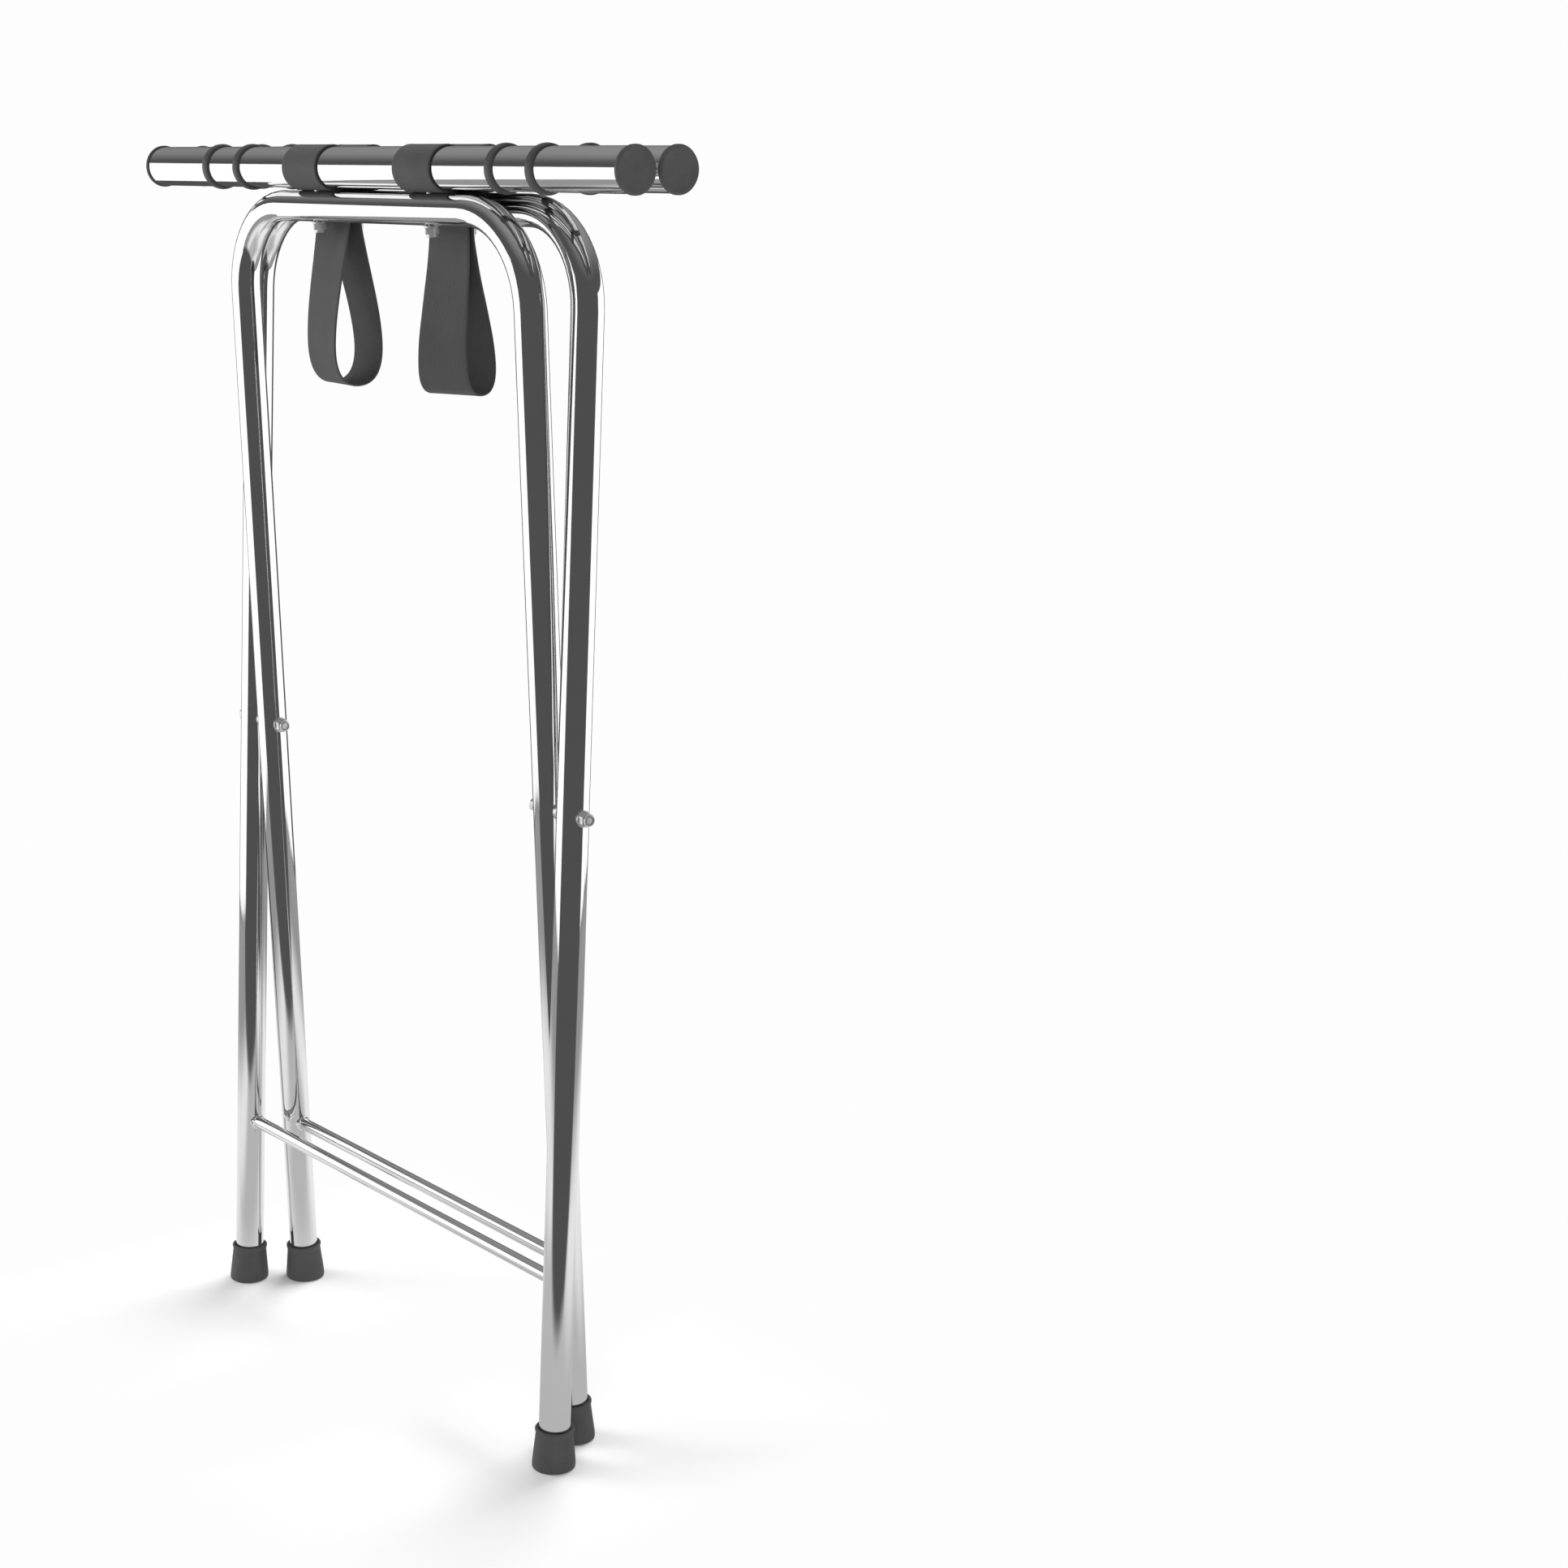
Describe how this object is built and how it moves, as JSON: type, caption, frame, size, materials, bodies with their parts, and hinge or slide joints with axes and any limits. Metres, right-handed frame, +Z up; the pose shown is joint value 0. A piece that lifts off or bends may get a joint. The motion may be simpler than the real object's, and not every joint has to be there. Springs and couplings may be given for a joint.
{
  "type": "folding valet stand",
  "caption": "Folding valet stand of chromed tube: crossed U frames on rubber feet, round rails with rubber bands on top, and webbing straps that limit the opening.",
  "frame": {"origin": "on the floor, midway between the four feet, with the stand folded", "axes": "+X along the rails to the stand's right, +Y through the depth of the fold to the rear, +Z up"},
  "size_m": [0.508, 0.0584, 0.7771],
  "materials": {
    "frame_chrome": "polished chrome plate",
    "rail_chrome": "polished chrome plate",
    "fastener_steel": "zinc plated",
    "cap_plastic": "fine moulded texture",
    "ring_rubber": "matt",
    "foot_rubber": "matt",
    "webbing": "flat woven webbing"
  },
  "bodies": {
    "pivot": {"pivot_bolts": "fastener_steel", "pivot_washers": "fastener_steel", "pivot_nuts": "fastener_steel", "pivot_spacers": "fastener_steel"},
    "front_frame": {"front_frame_tube": "frame_chrome", "front_cross_rod": "frame_chrome", "front_weld_beads": "frame_chrome", "front_rail": "rail_chrome", "front_rail_ring_1": "ring_rubber", "front_rail_ring_2": "ring_rubber", "front_rail_ring_3": "ring_rubber", "front_rail_ring_4": "ring_rubber", "front_rail_bolts": "fastener_steel", "front_rail_washers": "fastener_steel", "front_rail_nuts": "fastener_steel", "front_rail_cap_left": "cap_plastic", "front_rail_cap_right": "cap_plastic", "front_foot_left": "foot_rubber", "front_foot_right": "foot_rubber", "front_strap_left": "webbing", "front_strap_right": "webbing"},
    "rear_frame": {"rear_frame_tube": "frame_chrome", "rear_cross_rod": "frame_chrome", "rear_weld_beads": "frame_chrome", "rear_rail": "rail_chrome", "rear_rail_ring_1": "ring_rubber", "rear_rail_ring_2": "ring_rubber", "rear_rail_ring_3": "ring_rubber", "rear_rail_ring_4": "ring_rubber", "rear_rail_bolts": "fastener_steel", "rear_rail_washers": "fastener_steel", "rear_rail_nuts": "fastener_steel", "rear_rail_cap_left": "cap_plastic", "rear_rail_cap_right": "cap_plastic", "rear_foot_left": "foot_rubber", "rear_foot_right": "foot_rubber", "rear_strap_left": "webbing", "rear_strap_right": "webbing"},
    "front_strap_middle": {"front_strap_bottom_left": "webbing", "front_strap_bottom_right": "webbing"},
    "rear_strap_middle": {"rear_strap_bottom_left": "webbing", "rear_strap_bottom_right": "webbing"}
  },
  "joints": [
    {"name": "front_fold", "type": "hinge", "parent": "pivot", "child": "front_frame", "pos_m": [0, 0, 0.397], "axis": [1, 0, 0], "range_deg": [0, 21], "deforming": ["front_strap_left", "front_strap_right"]},
    {"name": "rear_fold", "type": "hinge", "parent": "pivot", "child": "rear_frame", "pos_m": [0, 0, 0.397], "axis": [1, 0, 0], "range_deg": [-21, 0], "deforming": ["rear_strap_left", "rear_strap_right"]},
    {"name": "front_strap_follow", "type": "hinge", "parent": "front_frame", "child": "front_strap_middle", "pos_m": [0, 0.21906, 0.3564], "axis": [1, 0, 0], "range_deg": [-21, 0], "deforming": ["front_strap_bottom_left", "front_strap_bottom_right"]},
    {"name": "rear_strap_follow", "type": "hinge", "parent": "rear_frame", "child": "rear_strap_middle", "pos_m": [0, -0.21906, 0.3564], "axis": [1, 0, 0], "range_deg": [0, 21], "deforming": ["rear_strap_bottom_left", "rear_strap_bottom_right"]}
  ],
  "couplings": [
    {"joint": "rear_fold", "follows": "front_fold", "ratio": -1},
    {"joint": "front_strap_follow", "follows": "front_fold", "ratio": -1},
    {"joint": "rear_strap_follow", "follows": "front_fold", "ratio": 1}
  ]
}
